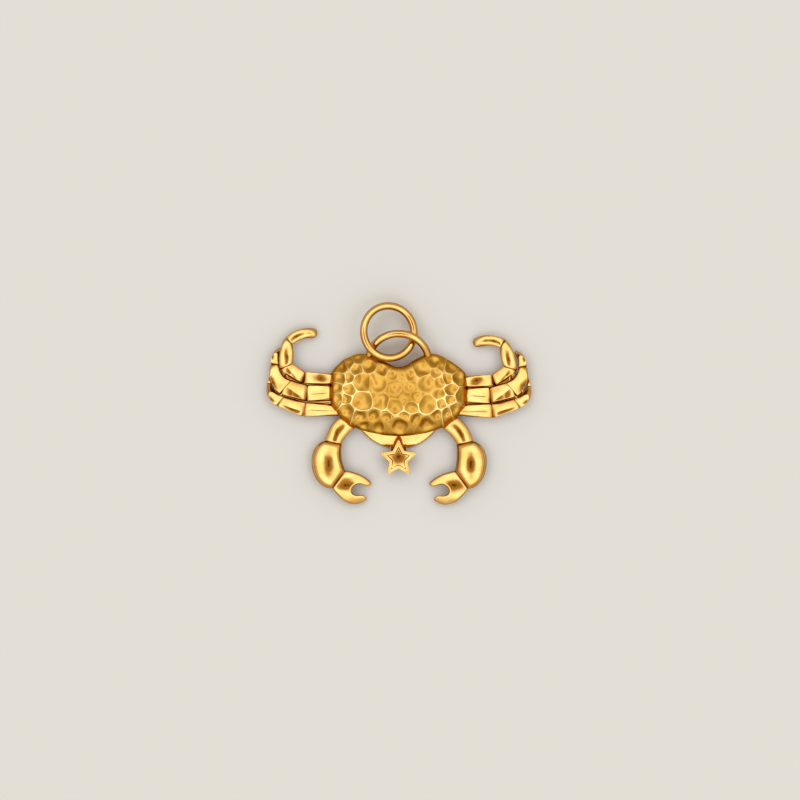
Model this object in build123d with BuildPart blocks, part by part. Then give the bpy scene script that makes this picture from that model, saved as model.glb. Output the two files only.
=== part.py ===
from build123d import *
from math import atan2, cos, degrees, hypot, radians, sin, sqrt, tan
import os

# Crab pendant in millimetres: +X to the crab's side, +Y to its bail, +Z up from its flat back.
# The origin is on the back, in the middle between the flanks.

# Shell: outline
shell_width = 15.3
flank_margin = 0.1
shoulder_insets = {"left": 0.9, "right": 1.25}
shoulder_drops = {"left": 1.05, "right": 1.17}
lobe_spacing = 7.5
lobe_reach = 4.55
notch_width = 3.2
notch_step = 0.9
notch_depth = 1.55
leg_facet_run = 1.05
leg_facet_drop = 1.4
arm_facet_run = 1.7
arm_facet_drop = 1.3
facet_margin = 0.08
front_bulge = 0.9

# Shell: dome
shell_crown = 3.5
flank_height = 1.9
dome_roll = 8.0
rim_share = 1.1

# Belly plate and its crescent
plate_thickness = 0.8
plate_inset = 0.3
crescent_inset = 0.55
crescent_depth = 2.25
crescent_slope = 16.0
web_low = 0.1
web_top = 0.95

# Star and its neck
star_points = 5
star_reach = 2.32
star_waist = 1.13
star_drop = 1.12
star_height = 0.95
star_rim = 0.3
star_sink = 0.35
star_point_round = 0.1
neck_width = 1.85
neck_length = 0.9
neck_overlap = 0.35
neck_thickness = 0.6

# Bail: a wire arch that leans up from the back
bail_wire = 0.85
bail_span = 6.7
bail_height = 2.67
bail_lean = 25.0
bail_seat = 0.07
bail_sink = 0.12
bail_tail_angle = 10.0

# Jump ring: over the bail on the left, under it on the right
ring_wire = 0.85
ring_bore = 5.15
ring_shift = 1.1
ring_lift = 0.2
link_gap = 0.3

# Arms
arm_lengths = {"left": 2.95, "right": 3.08}
arm_headings = {"left": -53.5, "right": -52.0}
arm_bow = 0.28
arm_width = 2.1
arm_end_width = 1.95
arm_underside = 0.5
arm_top = 1.5

# Palms: points are from the wrist
palm_heading = -79.0
palm_shoulder = 2.0
palm_waist = (-0.95, -1.75)
palm_swell = ((1.1, -5.02), (2.45, -2.55), (1.85, -0.35))
palm_underside = 0.2
palm_top = 2.0
palm_crown_round = 0.5
palm_foot_round = 0.3

# Pincers: points are along and across the pincer
pincer_inset = 0.55
pincer_reach = 4.25
pincer_skew = 0.13
pincer_heading = -144.0
pincer_root = 2.5
pincer_underside = 0.35
pincer_top = 1.6
pincer_crown_round = 0.1
upper_finger_back = ((0.95, 1.66), (1.95, 1.9), (2.75, 1.92))
upper_fingertip = ((3.3, 1.74), (3.2, 1.5))
finger_gap = ((2.3, 1.08), (1.78, 0.35), (1.95, -0.3), (2.65, -0.36))
lower_fingertip = ((3.5, 0.16), (3.84, 0.1), (3.72, -0.45))
lower_finger_back = ((3.15, -1.17), (2.14, -1.58), (1.05, -1.52))

# Leg and arm sections: upright sides under an arched crown, rounded at the foot
side_share = 0.7
corner_share = 0.3

# Legs: heights of their pieces above the back
root_low = 0.45
root_top = 1.35
hip_low = 0.5
hip_top = 1.6
knee_low = 0.7
knee_top = 1.8
crossing_height = 0.75
crossing_gap = 0.1
shin_top = 1.75
ankle_top = 1.5
curl_low = 0.45
curl_top = 1.3
tip_low = 0.2
blunt_tip_top = 1.02

# Legs: where they leave the flanks
rear_root_reach = 1.55
leg_gap = 0.04
flank_skew = 0.17

# Rear legs
rear_base_length = 3.3
rear_thigh_length = 2.3
rear_shin_length = 2.95
rear_tip_length = 3.38
rear_root_width = 1.27
rear_hip_width = 1.35
rear_knee_width = 1.6
rear_shin_width = 1.6
rear_ankle_width = 1.15
rear_tip_width = 1.2
rear_end_width = 1.0
rear_end_round = 0.6
rear_shin_bow = 0.1
rear_tip_bow = 0.42
rear_headings = {"left": (3.0, 32.8, 95.3, 166.0), "right": (4.0, 35.2, 106.6, 181.0)}

# Middle legs
middle_base_setback = 0.45
middle_thigh_length = 2.6
middle_shin_length = 2.82
middle_tip_length = 1.95
middle_root_width = 1.75
middle_hip_width = 1.8
middle_knee_width = 1.92
middle_shin_width = 1.45
middle_ankle_width = 0.96
middle_tip_width = 0.8
middle_end_width = 0.35
middle_shin_bow = 0.47
middle_tip_bow = 0.28
middle_headings = {"left": (-1.6, 15.4, 65.5, 109.5), "right": (0.0, 15.3, 64.5, 114.0)}

# Front legs
front_base_advance = 0.36
front_thigh_length = 2.97
front_shin_length = 2.38
front_tip_length = 1.25
front_hip_width = 1.6
front_knee_width = 1.3
front_shin_width = 0.92
front_ankle_width = 0.5
front_tip_width = 0.38
front_end_width = 0.22
front_shin_bow = 0.43
front_tip_bow = 0.05
front_headings = {"left": (0.4, 19.5, 58.3, 105.0), "right": (-1.8, 17.2, 55.7, 101.8)}

# Leg bases: the legs nest, so the middle and front ones follow the rear one
middle_base_length = rear_base_length - middle_base_setback
front_base_length = rear_base_length + front_base_advance

# Leg roots: the flank is as long as the rear and middle roots that stand on it
sides = {"left": -1, "right": 1}
flank = shell_width / 2
root_step = rear_root_width / 2 + leg_gap + middle_root_width / 2
rear_roots = {name: (flank, rear_root_reach - way * flank_skew) for name, way in sides.items()}
middle_roots = {name: (flank, root[1] - root_step) for name, root in rear_roots.items()}
flank_rear = rear_roots["left"][1] + rear_root_width / 2 + flank_margin
flank_front = middle_roots["right"][1] - middle_root_width / 2 - flank_margin

# Shell corners between the flank, the front leg's facet, the arm's facet and the front arc
leg_corner = (flank - leg_facet_run, flank_front - leg_facet_drop)
arm_corner = (leg_corner[0] - arm_facet_run, leg_corner[1] - arm_facet_drop)
front_root = ((flank + leg_corner[0]) / 2, (flank_front + leg_corner[1]) / 2)
front_root_heading = degrees(atan2(-leg_facet_run, leg_facet_drop))
front_root_width = hypot(leg_facet_run, leg_facet_drop) - 2 * facet_margin
arm_root = ((leg_corner[0] + arm_corner[0]) / 2, (leg_corner[1] + arm_corner[1]) / 2)
arm_root_heading = degrees(atan2(-arm_facet_run, arm_facet_drop))
arm_root_width = hypot(arm_facet_run, arm_facet_drop) - 2 * facet_margin
shell_front = arm_corner[1] - front_bulge

# Crescent and star, from the shell's front arc
front_radius = (arm_corner[0] ** 2 + front_bulge**2) / (2 * front_bulge)
crescent_half = arm_corner[0] - crescent_inset
crescent_tip = (crescent_half, shell_front + front_radius - sqrt(front_radius**2 - crescent_half**2))
crescent_edge = crescent_tip[1] - crescent_depth
crescent_fall = crescent_depth * tan(radians(crescent_slope))
star_place = crescent_edge - star_drop

# Dome: an arc over the shell's width, rolled about an axis along X
dome_rise = shell_crown - flank_height
dome_radius = (flank**2 + dome_rise**2) / (2 * dome_rise)

os.makedirs("parts", exist_ok=True)


def dome_height(x, y):
    """Height of the dome above a point of the back."""
    roll = dome_roll - dome_radius + sqrt(dome_radius**2 - x**2)
    return shell_crown - dome_roll + sqrt(roll**2 - y**2)


def keep(piece, label):
    """Name a finished piece and write it."""
    piece.label = label
    export_step(piece, f"parts/{label}.step")


def upright_plane(point, heading, side):
    """Upright plane at a point of the right half, facing along a heading, put on a side."""
    way = radians(heading)
    facing = (side * cos(way), sin(way), 0)
    across = (-facing[1], facing[0], 0)
    return Plane(origin=(side * point[0], point[1], 0), x_dir=across, z_dir=facing)


def stepped(point, heading, length, bow=0):
    """A point moved by a length along a heading, and by a bow to the right of it."""
    way = radians(heading)
    x = point[0] + length * cos(way) + bow * sin(way)
    y = point[1] + length * sin(way) - bow * cos(way)
    return (x, y)


def body_outline(inset):
    """Outline of the shell, drawn in from its edge by an inset."""
    side = flank - inset
    halves = {}
    for name, way in sides.items():
        halves[name] = [
            (way * side, flank_rear - inset),
            (way * (side - shoulder_insets[name]), lobe_reach - shoulder_drops[name] - inset),
            (way * lobe_spacing / 2, lobe_reach - inset),
            (way * notch_width / 2, lobe_reach - notch_step - inset),
        ]
    rear_edge = halves["right"] + [(0, lobe_reach - notch_depth - inset)] + halves["left"][::-1]
    leg_end = (leg_corner[0] - inset, leg_corner[1])
    arm_end = (arm_corner[0], arm_corner[1] + inset)
    with BuildSketch() as outline:
        with BuildLine():
            Spline(*rear_edge)
            for way in sides.values():
                Polyline(
                    (way * side, flank_rear - inset),
                    (way * side, flank_front),
                    (way * leg_end[0], leg_end[1]),
                    (way * arm_end[0], arm_end[1]),
                )
            ThreePointArc((-arm_end[0], arm_end[1]), (0, shell_front + inset), arm_end)
        make_face()
    return outline.sketch


def star_outline(inset):
    """Star with one point towards the shell, drawn in from its edge by an inset."""
    corners = []
    for point in range(star_points):
        turn = 90 + 360 * point / star_points
        corners.append(stepped((0, 0), turn, star_reach))
        corners.append(stepped((0, 0), turn + 180 / star_points, star_waist))
    with BuildSketch() as outline:
        with BuildLine():
            Polyline(*corners, close=True)
        make_face()
        if inset:
            offset(amount=-inset, kind=Kind.INTERSECTION, mode=Mode.REPLACE)
        fillet(outline.vertices().sort_by_distance((0, 0))[-star_points:], radius=star_point_round)
    return outline.sketch


def keel_piece(label, sections, end_round=0):
    """One stretch of a leg or an arm, lofted through sections of (plane, width, low, high)."""
    with BuildPart() as piece:
        for plane, width, low, high in sections:
            half = width / 2
            shoulder = low + side_share * (high - low)
            with BuildSketch(plane) as section:
                with BuildLine():
                    Polyline((half, shoulder), (half, low), (-half, low), (-half, shoulder))
                    ThreePointArc((-half, shoulder), (0, high), (half, shoulder))
                make_face()
                feet = section.vertices().sort_by(Axis.Y)[:2]
                fillet(feet, radius=corner_share * min(half, shoulder - low))
        loft()
        if end_round:
            with BuildSketch(Plane(origin=plane.origin, x_dir=plane.z_dir, z_dir=(0, 0, 1))):
                with Locations((-end_round, 0)):
                    Circle(end_round)
                    Rectangle(shell_width, shell_width, align=(Align.MAX, Align.CENTER))
            extrude(amount=shell_crown, mode=Mode.INTERSECT)
    keep(piece.part, label)
    return piece.part


# Carapace: an upright wall of the outline under a dome, its rim rounded as far as the wall is high
lowest_rim = min(dome_height(flank, flank_rear), dome_height(lobe_spacing / 2, lobe_reach))
rim_round = rim_share * (lowest_rim - plate_thickness)
with BuildPart() as carapace:
    with BuildSketch(Plane.XY.offset(plate_thickness)):
        add(body_outline(0))
    extrude(amount=shell_crown - plate_thickness)
    with BuildSketch(Plane.XZ):
        with BuildLine():
            ThreePointArc((-flank, flank_height), (0, shell_crown), (flank, flank_height))
            Polyline(
                (flank, flank_height),
                (flank, shell_crown - dome_roll),
                (-flank, shell_crown - dome_roll),
                (-flank, flank_height),
            )
        make_face()
    revolve(axis=Axis((0, 0, shell_crown - dome_roll), (1, 0, 0)), mode=Mode.INTERSECT)
    fillet(carapace.faces().sort_by(Axis.Z)[-1].edges(), radius=rim_round)
keep(carapace.part, "carapace")

# Star: rests on the crescent's front edge and on its neck
with BuildPart() as star:
    with BuildSketch(Plane((0, star_place, plate_thickness))):
        add(star_outline(0))
    extrude(amount=star_height)
    with BuildSketch(Plane((0, star_place, plate_thickness + star_height))):
        add(star_outline(star_rim))
    extrude(amount=-star_sink, mode=Mode.SUBTRACT)
keep(star.part, "star")

# Bail: its ends are cut to the shell's rear lobes
bail_foot = (lobe_reach - bail_seat, dome_height(bail_span / 2, lobe_reach) - bail_sink)
bail_plane = Plane(
    origin=(0, *bail_foot),
    x_dir=(1, 0, 0),
    z_dir=(0, -sin(radians(bail_lean)), cos(radians(bail_lean))),
)
bail_radius = (bail_span**2 / 4 + bail_height**2) / (2 * bail_height)
bail_foot_angle = degrees(atan2(bail_radius - bail_height, bail_span / 2))
bail_start = bail_foot_angle - bail_tail_angle
with BuildPart() as bail:
    with BuildLine(bail_plane) as bail_path:
        CenterArc((0, bail_height - bail_radius), bail_radius, bail_start, 180 - 2 * bail_start)
    with BuildSketch(bail_path.line ^ 0):
        Circle(bail_wire / 2)
    sweep()
    add(carapace.part, mode=Mode.SUBTRACT)
keep(bail.part, "bail")

# Jump ring: leans on the line between the two places where it crosses the bail
ring_radius = (ring_bore + ring_wire) / 2
arch_height = bail_height * cos(radians(bail_lean))
arch_radius = (bail_span**2 / 4 + arch_height**2) / (2 * arch_height)
arch_middle = bail_foot[0] + arch_height - arch_radius
ring_middle = (-ring_shift, bail_foot[0] + arch_height + ring_lift)
middle_distance = hypot(ring_middle[0], ring_middle[1] - arch_middle)
to_arch = (-ring_middle[0] / middle_distance, (arch_middle - ring_middle[1]) / middle_distance)
chord_offset = (ring_radius**2 - arch_radius**2 + middle_distance**2) / (2 * middle_distance)
chord_half = sqrt(ring_radius**2 - chord_offset**2)
crossing_step = (ring_wire + bail_wire) / 2 + link_gap
crossings = {}
for name, way in sides.items():
    x = ring_middle[0] + to_arch[0] * chord_offset - way * to_arch[1] * chord_half
    y = ring_middle[1] + to_arch[1] * chord_offset + way * to_arch[0] * chord_half
    bail_z = bail_foot[1] + (y - bail_foot[0]) * tan(radians(bail_lean))
    crossings[name] = Vector(x, y, bail_z - way * crossing_step)
ring_across = (crossings["right"] - crossings["left"]).normalized()
ring_along = Vector(0, 0, 1).cross(ring_across).normalized()
ring_center = (crossings["left"] + crossings["right"]) / 2 + ring_along * chord_offset
ring_plane = Plane(origin=ring_center, x_dir=ring_across, z_dir=ring_across.cross(ring_along))
with BuildPart(ring_plane) as jump_ring:
    Torus(ring_radius, ring_wire / 2)
keep(jump_ring.part, "jump_ring")


def claw(side_name):
    """Arm, palm and pincer of one side, each seated on the flat end of the one before."""
    side = sides[side_name]
    arm_heading = arm_headings[side_name]
    bend = stepped(arm_root, arm_heading, arm_lengths[side_name] / 2, -arm_bow)
    wrist = stepped(arm_root, arm_heading, arm_lengths[side_name])
    root_cut = (upright_plane(arm_root, arm_root_heading, side), arm_root_width, arm_underside, arm_top)
    bend_cut = (upright_plane(bend, arm_heading, side), arm_width, arm_underside, arm_top)
    wrist_cut = (upright_plane(wrist, palm_heading, side), arm_end_width, arm_underside, arm_top)
    keel_piece(f"claw_{side_name}_arm", [root_cut, bend_cut, wrist_cut])

    wrist_place = Location((side * wrist[0], wrist[1], 0))
    pincer_place = (side * pincer_skew - pincer_inset, -pincer_reach)

    def on_side(point):
        return (side * point[0], point[1])

    def pincer_point(along, across):
        return on_side(stepped(pincer_place, pincer_heading, along, across))

    outer_shoulder = on_side(stepped((0, 0), palm_heading, 0, -palm_shoulder / 2))
    inner_shoulder = on_side(stepped((0, 0), palm_heading, 0, palm_shoulder / 2))
    outer_root = pincer_point(0, -pincer_root / 2)
    inner_root = pincer_point(0, pincer_root / 2)
    with BuildPart() as palm:
        with BuildSketch(Plane.XY.offset(palm_underside)):
            with BuildLine():
                Line(outer_shoulder, inner_shoulder)
                Spline(inner_shoulder, on_side(palm_waist), inner_root)
                Line(inner_root, outer_root)
                Spline(outer_root, *[on_side(point) for point in palm_swell], outer_shoulder)
            make_face()
        extrude(amount=palm_top - palm_underside)
        fillet(palm.edges().group_by(Axis.Z)[-1], radius=palm_crown_round)
        fillet(palm.edges().group_by(Axis.Z)[0], radius=palm_foot_round)
    keep(palm.part.moved(wrist_place), f"claw_{side_name}_palm")

    fingers = upper_finger_back + upper_fingertip + finger_gap + lower_fingertip + lower_finger_back
    with BuildPart() as pincer:
        with BuildSketch(Plane.XY.offset(pincer_underside)):
            with BuildLine():
                Line(outer_root, inner_root)
                Spline(inner_root, *[pincer_point(*point) for point in fingers], outer_root)
            make_face()
        extrude(amount=pincer_top - pincer_underside)
        fillet(pincer.edges().group_by(Axis.Z)[-1], radius=pincer_crown_round)
    keep(pincer.part.moved(wrist_place), f"claw_{side_name}_pincer")


def leg(side_name, leg_name, root, root_heading, end_round=0):
    """Base, thigh, shin and tip of one leg, end to end on flat joint faces."""
    side = sides[side_name]
    sizes = legs[leg_name]
    headings = sizes["headings"][side_name]
    shin_bow, tip_bow = sizes["bows"]
    joints = [root]
    for length, heading in zip(sizes["lengths"], headings):
        joints.append(stepped(joints[-1], heading, length))
    shin_middle = stepped(joints[2], headings[2], sizes["lengths"][2] / 2, shin_bow)
    tip_middle = stepped(joints[3], headings[3], sizes["lengths"][3] / 2, tip_bow)
    end_heading = headings[3] + degrees(atan2(4 * tip_bow, sizes["lengths"][3]))
    places = [
        (root, root_heading),
        (joints[1], (headings[0] + headings[1]) / 2),
        (joints[2], (headings[1] + headings[2]) / 2),
        (shin_middle, headings[2]),
        (joints[3], (headings[2] + headings[3]) / 2),
        (tip_middle, headings[3]),
        (joints[4], end_heading),
    ]
    planes = [upright_plane(point, heading, side) for point, heading in places]
    cuts = list(zip(planes, sizes["widths"], sizes["lows"], sizes["highs"]))
    label = f"leg_{side_name}_{leg_name}"
    leg_pieces.append(keel_piece(f"{label}_base", cuts[0:2]))
    leg_pieces.append(keel_piece(f"{label}_thigh", cuts[1:3]))
    leg_pieces.append(keel_piece(f"{label}_shin", cuts[2:5]))
    leg_pieces.append(keel_piece(f"{label}_tip", cuts[4:7], end_round))
    leg_lines[side_name, leg_name] = [point for point, heading in places]


# Leg sizes at the root, hip, knee, middle of the shin, ankle, middle of the tip and end
under_crossing = crossing_height - crossing_gap
legs = {
    "rear": {
        "headings": rear_headings,
        "lengths": (rear_base_length, rear_thigh_length, rear_shin_length, rear_tip_length),
        "widths": (
            rear_root_width,
            rear_hip_width,
            rear_knee_width,
            rear_shin_width,
            rear_ankle_width,
            rear_tip_width,
            rear_end_width,
        ),
        "bows": (rear_shin_bow, rear_tip_bow),
        "lows": (root_low, hip_low, knee_low, crossing_height, crossing_height, curl_low, tip_low),
        "highs": (root_top, hip_top, knee_top, shin_top, ankle_top, curl_top, blunt_tip_top),
    },
    "middle": {
        "headings": middle_headings,
        "lengths": (middle_base_length, middle_thigh_length, middle_shin_length, middle_tip_length),
        "widths": (
            middle_root_width,
            middle_hip_width,
            middle_knee_width,
            middle_shin_width,
            middle_ankle_width,
            middle_tip_width,
            middle_end_width,
        ),
        "bows": (middle_shin_bow, middle_tip_bow),
        "lows": (root_low, hip_low, knee_low, crossing_height, crossing_height, curl_low, tip_low),
        "highs": (root_top, hip_top, knee_top, shin_top, ankle_top, curl_top, under_crossing),
    },
    "front": {
        "headings": front_headings,
        "lengths": (front_base_length, front_thigh_length, front_shin_length, front_tip_length),
        "widths": (
            front_root_width,
            front_hip_width,
            front_knee_width,
            front_shin_width,
            front_ankle_width,
            front_tip_width,
            front_end_width,
        ),
        "bows": (front_shin_bow, front_tip_bow),
        "lows": (root_low, hip_low, hip_low, curl_low, tip_low, tip_low, tip_low),
        "highs": (
            root_top,
            hip_top,
            hip_top,
            curl_top,
            under_crossing,
            under_crossing,
            under_crossing,
        ),
    },
}
leg_lines = {}
leg_pieces = []
for side_name in sides:
    claw(side_name)
    leg(side_name, "rear", rear_roots[side_name], 0, rear_end_round)
    leg(side_name, "middle", middle_roots[side_name], 0)
    leg(side_name, "front", front_root, front_root_heading)

# Belly plate: under the shell, with the crescent sloping down in front of it and a web between the legs
with BuildPart() as belly_plate:
    with BuildSketch():
        add(body_outline(plate_inset))
        with BuildLine():
            ThreePointArc((-crescent_tip[0], crescent_tip[1]), (0, crescent_edge), crescent_tip)
            Polyline(crescent_tip, (0, 0), (-crescent_tip[0], crescent_tip[1]))
        make_face()
    extrude(amount=plate_thickness)
    with BuildSketch(Plane.XZ.offset(-shell_front - front_radius)):
        with BuildLine():
            Polyline(
                (front_radius, plate_thickness),
                (front_radius + crescent_depth, plate_thickness),
                (front_radius + crescent_depth, plate_thickness - crescent_fall),
                close=True,
            )
        make_face()
    revolve(axis=Axis((0, shell_front + front_radius, 0), (0, 0, 1)), mode=Mode.SUBTRACT)
    for side_name, way in sides.items():
        rear, middle, front = [leg_lines[side_name, leg_name] for leg_name in legs]
        foot = [(flank - plate_inset, rear[0][1]), (flank - plate_inset, flank_front)]
        foot += [(front[0][0] - plate_inset, front[0][1]), front[1], front[2]]
        under_legs = foot + [front[3], middle[3], rear[2], rear[1]]
        between_legs = foot + [middle[2], rear[2], rear[1]]
        for edge, low, high in ((under_legs, web_low, root_low), (between_legs, root_low, web_top)):
            with BuildSketch(Plane.XY.offset(low)):
                with BuildLine():
                    Polyline(*[(way * x, y) for x, y in edge], close=True)
                make_face()
            extrude(amount=high - low)
    add([carapace.part] + leg_pieces, mode=Mode.SUBTRACT)
keep(belly_plate.part, "belly_plate")

# Star neck: from the crescent's edge to under the star
with BuildPart() as star_neck:
    with BuildSketch(Plane((0, crescent_edge - neck_length, plate_thickness - neck_thickness))):
        Rectangle(neck_width, neck_length + neck_overlap, align=(Align.CENTER, Align.MIN))
    extrude(amount=neck_thickness)
    add(belly_plate.part, mode=Mode.SUBTRACT)
keep(star_neck.part, "star_neck")
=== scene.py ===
from math import cos, pi, radians, sin

import bmesh
import bpy
import numpy as np
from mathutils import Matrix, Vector, noise


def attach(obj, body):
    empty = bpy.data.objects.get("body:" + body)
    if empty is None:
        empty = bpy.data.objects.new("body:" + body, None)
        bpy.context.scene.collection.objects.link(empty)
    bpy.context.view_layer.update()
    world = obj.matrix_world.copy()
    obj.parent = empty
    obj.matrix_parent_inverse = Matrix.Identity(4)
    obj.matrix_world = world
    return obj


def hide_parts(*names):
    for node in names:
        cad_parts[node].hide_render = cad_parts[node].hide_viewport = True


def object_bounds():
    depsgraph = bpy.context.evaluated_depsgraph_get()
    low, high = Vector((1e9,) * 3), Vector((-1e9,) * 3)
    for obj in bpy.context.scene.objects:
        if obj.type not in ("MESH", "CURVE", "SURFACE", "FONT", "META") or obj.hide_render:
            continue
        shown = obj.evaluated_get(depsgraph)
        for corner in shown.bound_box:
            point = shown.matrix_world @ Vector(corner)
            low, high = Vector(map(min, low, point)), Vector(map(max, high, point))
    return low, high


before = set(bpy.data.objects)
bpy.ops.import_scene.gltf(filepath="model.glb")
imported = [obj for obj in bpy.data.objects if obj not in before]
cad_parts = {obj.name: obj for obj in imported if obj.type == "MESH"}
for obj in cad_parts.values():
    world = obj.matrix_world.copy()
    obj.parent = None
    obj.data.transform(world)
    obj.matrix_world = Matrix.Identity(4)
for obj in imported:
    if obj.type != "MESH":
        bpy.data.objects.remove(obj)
cad_low, cad_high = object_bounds()

# Sizes, in millimetres, and shares
mm = 0.001
weld = 0.001

# How fine the mesh of a piece is, and how often its edges are rubbed round
limb_work = (0.05, 26)
palm_work = (0.06, 14)
pincer_work = (0.05, 30)
star_work = (0.025, 4)
plate_work = (0.068, 19)
wire_work = (0.045, 10)
shell_work = (0.063, 62)
rub_strength = 0.5

# Rubbing makes a piece thinner, and this puts it back
pincer_swell, shell_swell = 0.03, 0.08

# How far a crown falls toward the ends and the sides of its piece, as a share of its height
leg_fall = (0.18, 0.0)
rear_base_fall = (0.5, 0.0)
palm_fall = (0.25, 0.28)
pincer_fall = (0.46, 0.40)
arm_fall = (0.22, 0.0)

# Where a crown is highest, outward and rearward from the middle of its piece
rear_base_crown = (-0.45, 0)
pincer_crown = (0.75, 0.25)
arm_crown = (0.35, -0.4)

# How far a leg or an arm dips at its joints, and how close to its ends the dip stays
joint_dip, joint_power = 0.25, 12

# A leg's crown starts at this share of its height, and keeps this share of its rise, round or faceted
crown_start, round_kept, facet_kept = 0.70, 0.6, 0.2

# Facets of a leg's crown: where the crease between them lies at the inner and at the outer end of the piece,
# from -1 at the front edge to 1 at the rear edge, then how steeply the front and the rear facet fall from it
level_facet = (0.0, 0.0, 0.0, 0.0)
roof_facets = (-0.1, -0.1, 0.2, 0.2)
slant_facets = (-0.9, 0.7, -0.1, 0.3)
fold_facets = (-0.15, -0.15, -0.1, 0.3)
lean_facet = (-1.0, -1.0, 0.0, 0.25)

# The facets of each leg's stretches, none where the crown stays round
leg_stretches = ("base", "thigh", "shin", "tip")
leg_facets = {
    "rear": (level_facet, slant_facets, None, None),
    "middle": (roof_facets, slant_facets, lean_facet, lean_facet),
    "front": (roof_facets, fold_facets, lean_facet, lean_facet),
}

# Star: its outline, the edge that is left as it is, and how deep below the top it is shaped
star_points, star_reach, star_waist, star_point_round = 5, 2.32, 1.13, 0.1
star_edge, star_top_depth = 0.03, 0.5

# Star: a crowned rim, the wall inside it and a floor that is a shallow dish
star_rim, star_rim_slope, star_wall = 0.34, 0.30, 0.14
star_sink, star_dish, star_dish_rise = 0.10, 0.12, 0.3

# Unevenness left by casting and polishing by hand
wave_length = 1.0
leg_wave, claw_wave, plate_wave, wire_wave, shell_wave = 0.03, 0.02, 0.025, 0.008, 0.06

# Shell: raised edges, and bowls between them with a wall and a level land round each, on back and front
edge_height, edge_width = 0.07, 0.075
bowl_depth, bowl_wall, bowl_land = 0.27, 0.95, 0.03
front_depth, front_wall, front_land = 0.26, 0.62, 0.08
corner_round = 0.13

# A bowl has its full depth from this reach on, stays within this many reaches, and starts with a soft lip
full_bowl, bowl_limit, bowl_lip = 0.65, 1.2, 0.12

# The edges wander off their straight lines: over what length, how far, and by which layers of the noise
wander_length, wander, wander_layers = 0.9, 0.13, (0.4, 5.3)

# The dimples fade out this near to the shell's foot, and where a face points up less than this
rim_band, flank_fade = 0.3, 0.25

# The long ridge over the front slope stands this much sharper than the edges beside it
long_ridge = 0.75

# Dimples: x, y, reach and how sharp the edge round it stands
back_dimples = (
    # the row behind the notch and along the rear lobes
    (-4.55, 4.0, 0.50, 0.4), (-6.5, 3.05, 0.58, 0.5), (-5.6, 3.4, 0.42, 0.9), (-4.8, 2.85, 0.55, 0.9),
    (-3.4, 3.15, 0.66, 0.8), (-1.9, 2.7, 0.63, 0.6), (-0.65, 2.0, 0.55, 0.6), (0.4, 1.95, 0.42, 0.5),
    (1.35, 2.1, 0.53, 0.6), (2.75, 2.7, 0.80, 0.7), (4.1, 3.6, 0.58, 0.4), (4.9, 3.15, 0.40, 0.6),
    (5.95, 3.0, 0.60, 0.8), (4.25, 2.4, 0.50, 0.7), (5.5, 1.7, 0.52, 0.8), (6.95, 1.85, 0.70, 0.7),
    # the middle of the back
    (-6.65, 1.8, 0.53, 1.0), (-5.7, 1.85, 0.46, 1.0), (-4.15, 1.35, 1.00, 0.45), (-2.45, 1.25, 1.00, 0.4),
    (-0.3, 0.65, 0.77, 0.3), (1.3, 0.7, 0.69, 0.3), (3.2, 1.15, 0.95, 0.4), (4.7, 1.25, 0.58, 0.5),
    (6.0, 0.45, 0.62, 1.0), (7.2, -0.2, 0.70, 0.6), (-7.0, 0.65, 0.46, 0.7), (-5.65, 0.45, 0.58, 1.1),
    # the row above the long ridge
    (-6.95, -0.5, 0.46, 0.7), (-6.05, -0.45, 0.44, 1.1), (-4.2, -0.85, 1.05, 1.2), (-1.95, -0.8, 0.93, 0.5),
    (0.55, -0.55, 0.46, 0.35), (2.0, -0.25, 0.75, 0.35), (4.6, 0.0, 0.53, 0.5), (5.85, -0.6, 0.44, 1.0),
    (-0.4, -1.4, 0.83, 0.7), (1.45, -1.6, 0.69, 0.8), (3.35, -1.25, 0.99, 0.9), (4.9, -1.2, 0.48, 1.2),
    (6.35, -1.75, 0.52, 1.0), (5.5, -2.15, 0.52, 1.1), (-5.75, -1.95, 0.58, 1.1),
)
front_dimples = (
    (-4.3, -2.5, 0.67, 0.35), (-2.8, -2.45, 0.67, 0.35), (-1.4, -2.65, 0.55, 0.3), (0.8, -2.5, 0.35, 0.5),
    (2.0, -2.9, 0.64, 0.3), (4.3, -2.4, 0.55, 0.6), (-3.85, -3.5, 0.58, 0.2), (-2.3, -3.75, 0.71, 0.2),
    (0.15, -3.7, 0.92, 0.2), (3.2, -3.5, 0.85, 0.2),
)

# Camera straight over the pendant, as the photo was taken
photo_field = 92.0
photo_middle = (0.17, -0.69)
camera_height = 450.0
sensor = 36.0
nearest_seen, farthest_seen = 1.0, 50000.0

# Floor
floor_side = 6000.0
floor_gap = 0.01

# Finishes: pale, deep and painted side-shade tone, roughness from and to, and the size and depth of the grain
bright_tones = ((0.89, 0.56, 0.20, 1), (0.81, 0.47, 0.135, 1), (0.24, 0.09, 0.014, 1))
bright_rough, bright_grain = (0.07, 0.15), (0.25, 0.003)
satin_tones = ((0.74, 0.42, 0.085, 1), (0.64, 0.35, 0.055, 1), (0.52, 0.25, 0.016, 1))
satin_rough, satin_grain = (0.31, 0.39), (0.12, 0.004)
glancing_tint = (0.70, 0.38, 0.12, 1)
floor_tone, floor_rough, floor_shine = (0.75, 0.757, 0.77, 1), 0.7, 0.2

# Blotches of tone and of wear: their size and detail, and the noise where the tone is pale and where deep
tone_blotch, tone_detail, tone_span = 1.6, 2.0, (0.35, 0.65)
wear_blotch, wear_detail = 0.5, 3.0
grain_detail = 3.0

# How level a face is where the painted shade on steep sides starts, and where it is full
bright_side_shade_levels = (0.75, 0.30)
satin_side_shade_levels = (0.93, 0.60)

# The shell's raised edges: how sharp they are where they start to shine and where in full, the paler tone of
# their painted highlight, and their real extra polish
edge_span, edge_highlight_tone, edge_polish = (0.35, 0.95), (1.0, 0.74, 0.30, 1), 0.15

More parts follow.
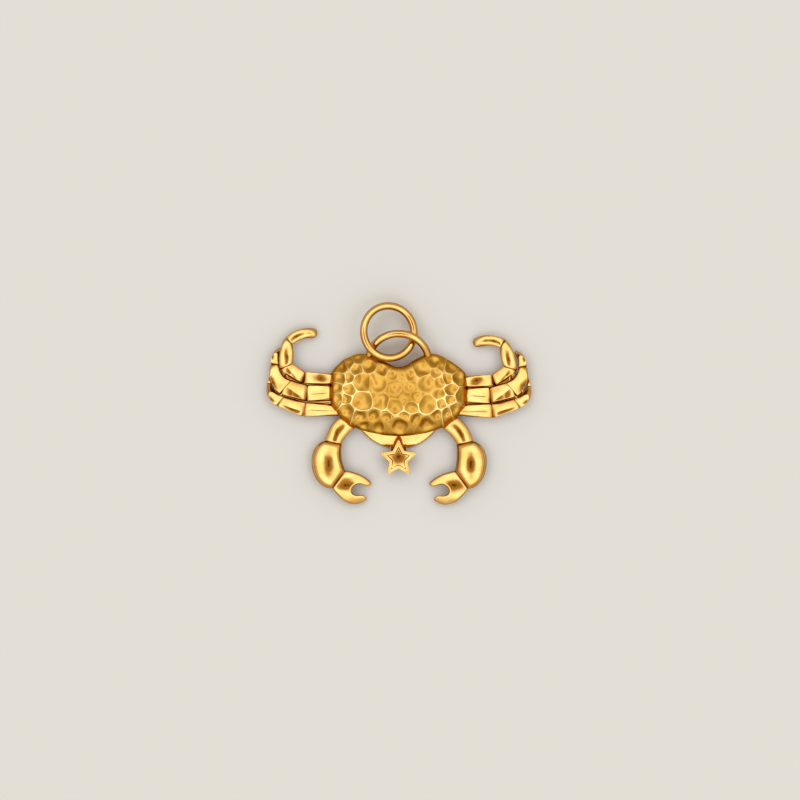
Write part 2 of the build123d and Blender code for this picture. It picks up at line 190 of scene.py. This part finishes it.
# Light tent: the angles off straight up where a part starts and where it is full, in degrees, and its light
upper_wall_light = (1.75, 1.74, 1.74, 1)
lower_wall = ((30, 52), (0.74, 0.68, 0.52, 1))
wall_foot = ((60, 92), (0.26, 0.16, 0.06, 1))
camera_hood = ((24, 11), (0.42, 0.27, 0.06, 1))
camera_lens = ((6.5, 2.5), (0.12, 0.05, 0.01, 1))
backdrop_light = (0.75, 0.73, 0.67, 1)


# Meshes and points
def placed(name, data):
    """A new object in the scene, at the origin."""
    made = bpy.data.objects.new(name, data)
    bpy.context.scene.collection.objects.link(made)
    return made


def points_of(mesh):
    """The vertices of a mesh as rows of x, y, z."""
    points = np.empty(len(mesh.vertices) * 3)
    mesh.vertices.foreach_get("co", points)
    return points.reshape(-1, 3)


def normals_of(mesh):
    """The vertex normals of a mesh as rows of x, y, z."""
    normals = np.empty(len(mesh.vertices) * 3)
    mesh.vertices.foreach_get("normal", normals)
    return normals.reshape(-1, 3)


def mark(mesh, name, shares):
    """Gives each vertex of a mesh a share that its material can read."""
    mesh.attributes.new(name, "FLOAT", "POINT").data.foreach_set("value", shares)


def smooth_step(value):
    """Nought to one with a soft start and a soft end."""
    held = np.clip(value, 0, 1)
    return held * held * (3 - 2 * held)


def worked(node_name, work):
    """A copy of a CAD piece, remeshed evenly and rubbed round at its edges, and its points in millimetres."""
    grain, rubs = work
    bm = bmesh.new()
    bm.from_mesh(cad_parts[node_name].data)
    bmesh.ops.remove_doubles(bm, verts=bm.verts, dist=weld * mm)
    bmesh.ops.recalc_face_normals(bm, faces=bm.faces)
    bmesh.ops.scale(bm, vec=Vector((1, 1, 1)) / mm, verts=bm.verts)
    mesh = bpy.data.meshes.new("blank")
    bm.to_mesh(mesh)
    bm.free()
    blank = placed("blank", mesh)
    even = blank.modifiers.new("even", "REMESH")
    even.mode = "VOXEL"
    even.voxel_size = grain
    even.use_smooth_shade = True
    rub = blank.modifiers.new("rub", "SMOOTH")
    rub.factor = rub_strength
    rub.iterations = rubs
    finished = blank.evaluated_get(bpy.context.evaluated_depsgraph_get())
    made = bpy.data.meshes.new_from_object(finished)
    bpy.data.objects.remove(blank)
    bpy.data.meshes.remove(mesh)
    return made, points_of(made)


def set_piece(mesh, points, node_name, name, material, sides):
    """Puts worked points back as a shown piece that rides where its CAD piece does."""
    mesh.vertices.foreach_set("co", (points * mm).ravel())
    mesh.update()
    level = np.abs(normals_of(mesh)[:, 2])
    side_start, side_full = sides
    # How much of the painted shade each vertex takes, by how steep its face is
    mark(mesh, "side_shade_share", smooth_step((side_start - level) / (side_start - side_full)))
    mesh.name = name
    mesh.materials.clear()
    mesh.materials.append(material)
    piece = placed(name, mesh)
    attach(piece, "ring" if node_name == "jump_ring" else "pendant")
    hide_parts(node_name)
    "satin_gold" if node_name == "carapace" else "polished_gold"


# Crowns
def from_middle(points):
    """The points in plan, from the middle of their piece."""
    plan = points[:, :2]
    return plan - (plan.min(0) + plan.max(0)) / 2


def on_side(outward, place):
    """A place given outward and rearward, as x and y on the left or the right side."""
    return outward * place[0], place[1]


def across_and_along(plan):
    """The directions across and along a piece, as columns."""
    return np.linalg.eigh(np.cov(plan.T))[1]


def lower_crown(points, kept):
    """Lets a round crown keep only this share of its rise, and makes the piece half of that loss taller."""
    foot = points[:, 2].min()
    height = points[:, 2] - foot
    loss = (1 - kept) * (1 - crown_start)
    height -= (1 - kept) * np.clip(height - crown_start * height.max(), 0, None)
    points[:, 2] = foot + height * (1 - loss / 2) / (1 - loss)


def facet_crown(points, outward, facets):
    """Gives a leg's crown two facets that fall away from a crease, as high in the middle as it was."""
    crease_in, crease_out, front_fall, rear_fall = facets
    plan = from_middle(points)
    along = across_and_along(plan)[:, 1]
    along *= np.sign(along @ (outward, 1))
    way_out = plan @ along
    to_rear = outward * (plan @ (-along[1], along[0]))
    share_out = (way_out / np.abs(way_out).max() + 1) / 2
    crease = (crease_in + (crease_out - crease_in) * share_out) * np.abs(to_rear).max()

    def fallen(place):
        """How far the facets lie below the crease, this far to the rear."""
        return rear_fall * np.clip(place - crease, 0, None) + front_fall * np.clip(crease - place, 0, None)

    height = points[:, 2] - points[:, 2].min()
    points[:, 2] -= (fallen(to_rear) - fallen(0)) * height / height.max()


def pillow(points, fall, dip=0.0, crown=(0, 0)):
    """Lets a crown fall away toward the ends and the sides of its piece."""
    fall_along, fall_across = fall
    plan = from_middle(points) - crown
    places = plan @ across_and_along(plan)
    across, along = (places / np.abs(places).max(0)).T
    foot = points[:, 2].min()
    kept = 1 - fall_across * across**2 - fall_along * along**2 - dip * along**joint_power
    points[:, 2] = foot + (points[:, 2] - foot) * kept


def waves(points, normals, height):
    """Moves the surface in and out a little, without any order."""
    for place, (point, normal) in enumerate(zip(points, normals)):
        points[place] += normal * height * noise.noise(Vector(point) / wave_length)


# Materials
class Value:
    """What a shader node gives, with plain arithmetic."""

    def __init__(self, tree, output):
        self.tree = tree
        self.output = output

    @classmethod
    def made(cls, tree, kind, settings, inputs, output=0):
        """A new node's output, from the node's settings and the values or links of its sockets."""
        node = tree.nodes.new(kind)
        for name, value in settings.items():
            setattr(node, name, value)
        for name, value in inputs.items():
            if isinstance(value, Value):
                value.feed(node.inputs[name])
            else:
                node.inputs[name].default_value = value
        return cls(tree, node.outputs[output])

    def feed(self, socket):
        """Links the value to a socket."""
        self.tree.links.new(self.output, socket)

    def _math(self, operation, first, second):
        """A Math node on two values."""
        return Value.made(self.tree, "ShaderNodeMath", {"operation": operation}, {0: first, 1: second})

    def __add__(self, other):
        return self._math("ADD", self, other)

    __radd__ = __add__

    def __sub__(self, other):
        return self._math("SUBTRACT", self, other)

    def __rsub__(self, other):
        return self._math("SUBTRACT", other, self)

    def __mul__(self, other):
        return self._math("MULTIPLY", self, other)

    __rmul__ = __mul__

    def between(self, start, full):
        """Nought at the start and one where it is full, with a soft rise."""
        settings = {"interpolation_type": "SMOOTHSTEP"}
        inputs = {"Value": self, "From Min": start, "From Max": full}
        return Value.made(self.tree, "ShaderNodeMapRange", settings, inputs)

    def mix(self, first, second):
        """The first colour at nought, the second at one."""
        factor, first_colour, second_colour, mixed_colour = 0, 6, 7, 2
        inputs = {factor: self, first_colour: first, second_colour: second}
        return Value.made(self.tree, "ShaderNodeMix", {"data_type": "RGBA"}, inputs, mixed_colour)


def new_material(name):
    """A new node material and its shader."""
    material = bpy.data.materials.new(name)
    material.use_nodes = True
    return material, material.node_tree.nodes["Principled BSDF"]


def marked(tree, name):
    """The share that a mesh was given under this name."""
    return Value.made(tree, "ShaderNodeAttribute", {"attribute_name": name}, {}, "Fac")


def cloud(tree, size, detail):
    """Cloudy noise whose blotches are about this many millimetres across."""
    where = Value.made(tree, "ShaderNodeTexCoord", {}, {}, "Object")
    inputs = {"Vector": where, "Scale": 1 / (size * mm), "Detail": detail}
    return Value.made(tree, "ShaderNodeTexNoise", {}, inputs, "Fac")


def bump(tree, height, depth):
    """A normal that follows a height, with its depth in millimetres."""
    inputs = {"Height": height, "Distance": depth * mm, "Strength": 1.0}
    return Value.made(tree, "ShaderNodeBump", {}, inputs, "Normal")


def gold(name, tones, rough, grain, edged):
    """Gold whose tone and polish wander a little, with a darker painted shade on its steep sides and, if
    edged, a paler painted highlight and more polish on its raised edges.
    """
    pale, deep, side_shade_tone = tones
    smoothest, roughest = rough
    grain_size, grain_depth = grain
    material, shader = new_material(name)
    tree = material.node_tree
    blotches = cloud(tree, tone_blotch, tone_detail).between(*tone_span)
    # Steep sides take a darker tone: painted shade
    tone = marked(tree, "side_shade_share").mix(blotches.mix(pale, deep), side_shade_tone)
    roughness = cloud(tree, wear_blotch, wear_detail) * (roughest - smoothest) + smoothest
    # Raised edges take a paler tone, a painted highlight, and real extra polish
    if edged:
        edge = marked(tree, "edge").between(*edge_span)
        tone = edge.mix(tone, edge_highlight_tone)
        roughness = roughness - edge * edge_polish
    tone.feed(shader.inputs["Base Color"])
    roughness.feed(shader.inputs["Roughness"])
    bump(tree, cloud(tree, grain_size, grain_detail), grain_depth).feed(shader.inputs["Normal"])
    shader.inputs["Metallic"].default_value = 1.0
    shader.inputs["Specular Tint"].default_value = glancing_tint
    return material


bright_polish = gold("bright_polish", bright_tones, bright_rough, bright_grain, edged=False)
satin_shell = gold("satin_shell", satin_tones, satin_rough, satin_grain, edged=True)


# Legs, claws and plain pieces
def polished(mesh, points, node_name, wave):
    """Finishes worked points as a bright piece that is a little uneven."""
    waves(points, normals_of(mesh), wave)
    set_piece(mesh, points, node_name, "gold_" + node_name, bright_polish, bright_side_shade_levels)


def plain_piece(node_name, work, wave):
    """A bright piece that keeps its CAD shape."""
    mesh, points = worked(node_name, work)
    polished(mesh, points, node_name, wave)


def leg(side, row, outward):
    """The four pieces of one leg."""
    for stretch, facets in zip(leg_stretches, leg_facets[row]):
        name = "leg_" + side + "_" + row + "_" + stretch
        mesh, points = worked(name, limb_work)
        lower_crown(points, facet_kept if facets else round_kept)
        if facets:
            facet_crown(points, outward, facets)
        if (row, stretch) == ("rear", "base"):
            pillow(points, rear_base_fall, joint_dip, on_side(outward, rear_base_crown))
        else:
            pillow(points, leg_fall, joint_dip)
        polished(mesh, points, name, leg_wave)


def claw(side, outward):
    """The palm, the arm and the pincer of one claw."""
    name = "claw_" + side + "_palm"
    mesh, points = worked(name, palm_work)
    pillow(points, palm_fall)
    polished(mesh, points, name, claw_wave)

    name = "claw_" + side + "_arm"
    mesh, points = worked(name, limb_work)
    pillow(points, arm_fall, joint_dip, on_side(outward, arm_crown))
    polished(mesh, points, name, claw_wave)

    name = "claw_" + side + "_pincer"
    mesh, points = worked(name, pincer_work)
    points += pincer_swell * normals_of(mesh)
    pillow(points, pincer_fall, crown=on_side(outward, pincer_crown))
    polished(mesh, points, name, claw_wave)


# Star
def inside_star(plan):
    """How far points of the plan are in from the star's outline."""
    turns = [pi / 2 + pi * step / star_points for step in range(2 * star_points)]
    reaches = [star_reach, star_waist] * star_points
    corners = np.array([(reach * cos(turn), reach * sin(turn)) for reach, turn in zip(reaches, turns)])
    nearest = np.full(len(plan), star_reach)
    for start, end in zip(corners, np.roll(corners, -1, axis=0)):
        run = end - start
        share = np.clip((plan - start) @ run / (run @ run), 0, 1)
        nearest = np.minimum(nearest, np.linalg.norm(plan - start - share[:, None] * run, axis=1))
    return nearest


def shape_top(points):
    """Gives the star a crowned rim round a shallow dish."""
    top = points[:, 2].max()
    plan = points[:, :2] - (0, points[:, 1].max() - star_reach + star_point_round)
    inward = inside_star(plan)
    roof = top - star_rim_slope * np.abs(np.minimum(inward, star_rim) - star_rim / 2)
    away = np.linalg.norm(plan - (0, star_dish_rise), axis=1)
    sunk = star_sink + star_dish * (1 - (away / star_waist) ** 2)
    profile = roof - sunk * smooth_step((inward - star_rim) / star_wall)
    inner = smooth_step((inward - star_edge) / star_edge)
    upper = inner * (points[:, 2] > top - star_top_depth)
    points[:, 2] += upper * (profile - points[:, 2])


def star():
    """The star that hangs from the crescent."""
    mesh, points = worked("star", star_work)
    shape_top(points)
    polished(mesh, points, "star", wire_wave)


# Shell
def drift(points):
    """How far the edges wander at each point, in x and y."""
    places = [[Vector((x, y, layer)) / wander_length for layer in wander_layers] for x, y, _ in points]
    return wander * np.array([[noise.noise(place) for place in pair] for pair in places])


def dimple(points, normals):
    """Sinks the bowls and raises the edges between them. Gives how sharp an edge each point is."""
    cells = np.array(back_dimples + front_dimples)
    middles, reaches, sharpness = cells[:, :2], cells[:, 2], cells[:, 3]
    in_front = np.arange(len(cells)) >= len(back_dimples)
    rows = np.arange(len(points))

    # The dimple that each point is in: the nearest one, where a wide dimple takes in more
    away = (points[:, :2] + drift(points))[:, None] - middles
    power = (away**2).sum(2) - reaches**2
    own = power.argmin(1)
    front = in_front[own]

    # How far the border with each other dimple is, and each one's share in the nearest border
    apart = np.linalg.norm(middles[own, None] - middles, axis=2)
    apart[rows, own] = 1
    border = (power - power[rows, own, None]) / (2 * apart)
    pull = np.exp(-border / corner_round)
    pull[rows, own] = 0
    whole_pull = pull.sum(1)
    share = pull / whole_pull[:, None]

    # Edges stand on the borders, sharpest where the back meets the front
    crossing = (share * (in_front != front[:, None])).sum(1)
    sharp = (sharpness[own] + share @ sharpness) / 2 + long_ridge * crossing
    to_border = np.clip(-corner_round * np.log(whole_pull), 0, None)
    edge = np.exp(-((to_border / edge_width) ** 2)) * sharp

    # Bowls sink inside the borders, and inside a circle where the border is far away
    to_circle = bowl_limit * reaches[own] - np.sqrt((away[rows, own] ** 2).sum(1))
    inside = -corner_round * np.log(whole_pull + np.exp(-to_circle / corner_round))
    wall = np.where(front, front_wall, bowl_wall)
    land = np.where(front, front_land, bowl_land)
    way_in = np.clip((inside - land) / wall, 0, 1)
    way_in *= way_in * (1 + bowl_lip) / (way_in + bowl_lip)
    bowl = 1 - (1 - way_in) ** 2
    depth = np.where(front, front_depth, bowl_depth) * np.clip(reaches[own] / full_bowl, 0, 1)

    # Both fade out toward the shell's foot
    above_foot = smooth_step((points[:, 2] - points[:, 2].min()) / rim_band)
    upper = above_foot * smooth_step(normals[:, 2] / flank_fade)
    points += normals * ((edge_height * edge - depth * bowl) * upper)[:, None]
    return edge * upper


def dimpled_shell():
    """The shell: worked, dimpled and a little uneven, with its edges marked for their painted highlight and
    polish.
    """
    mesh, points = worked("carapace", shell_work)
    normals = normals_of(mesh)
    points += shell_swell * normals
    edges = dimple(points, normals)
    waves(points, normals, shell_wave)
    mark(mesh, "edge", edges)
    set_piece(mesh, points, "carapace", "dimpled_shell", satin_shell, satin_side_shade_levels)


# Floor, light and camera
def pale_floor():
    """The ground that the pendant lies on."""
    bm = bmesh.new()
    bmesh.ops.create_grid(bm, x_segments=1, y_segments=1, size=floor_side * mm / 2)
    bmesh.ops.translate(bm, vec=(0, 0, cad_low.z - floor_gap * mm), verts=bm.verts)
    mesh = bpy.data.meshes.new("floor")
    bm.to_mesh(mesh)
    bm.free()
    floor = placed("floor", mesh)
    material, shader = new_material("pale_floor")
    shader.inputs["Base Color"].default_value = floor_tone
    shader.inputs["Roughness"].default_value = floor_rough
    shader.inputs["Specular IOR Level"].default_value = floor_shine
    mesh.materials.append(material)


def light_tent():
    """Pale walls all round that darken toward the floor, with a dark hood and lens straight above."""
    world = bpy.data.worlds.new("light_tent")
    bpy.context.scene.world = world
    world.use_nodes = True
    tree = world.node_tree
    heading = Value.made(tree, "ShaderNodeTexCoord", {}, {}, "Generated")
    up = Value.made(tree, "ShaderNodeSeparateXYZ", {}, {"Vector": heading}, "Z")
    light = upper_wall_light
    for (start, full), part_light in (lower_wall, wall_foot, camera_hood, camera_lens):
        part = up.between(cos(radians(start)), cos(radians(full)))
        light = part.mix(light, part_light)
    seen = Value.made(tree, "ShaderNodeLightPath", {}, {}, "Is Camera Ray")
    seen.mix(light, backdrop_light).feed(tree.nodes["Background"].inputs["Color"])


def photo_camera():
    """The camera over the pendant."""
    lens = bpy.data.cameras.new("camera")
    lens.sensor_width = sensor
    lens.lens = sensor * camera_height / photo_field
    lens.clip_start = nearest_seen * mm
    lens.clip_end = farthest_seen * mm
    camera = placed("camera", lens)
    camera.location = Vector((*photo_middle, camera_height)) * mm
    bpy.context.scene.camera = camera


for side, outward in (("left", -1), ("right", 1)):
    for row in leg_facets:
        leg(side, row, outward)
    claw(side, outward)
star()
plain_piece("star_neck", star_work, wire_wave)
plain_piece("belly_plate", plate_work, plate_wave)
plain_piece("bail", wire_work, wire_wave)
plain_piece("jump_ring", wire_work, wire_wave)
dimpled_shell()

pale_floor()
light_tent()
photo_camera()
bpy.context.scene.view_settings.view_transform = "Standard"
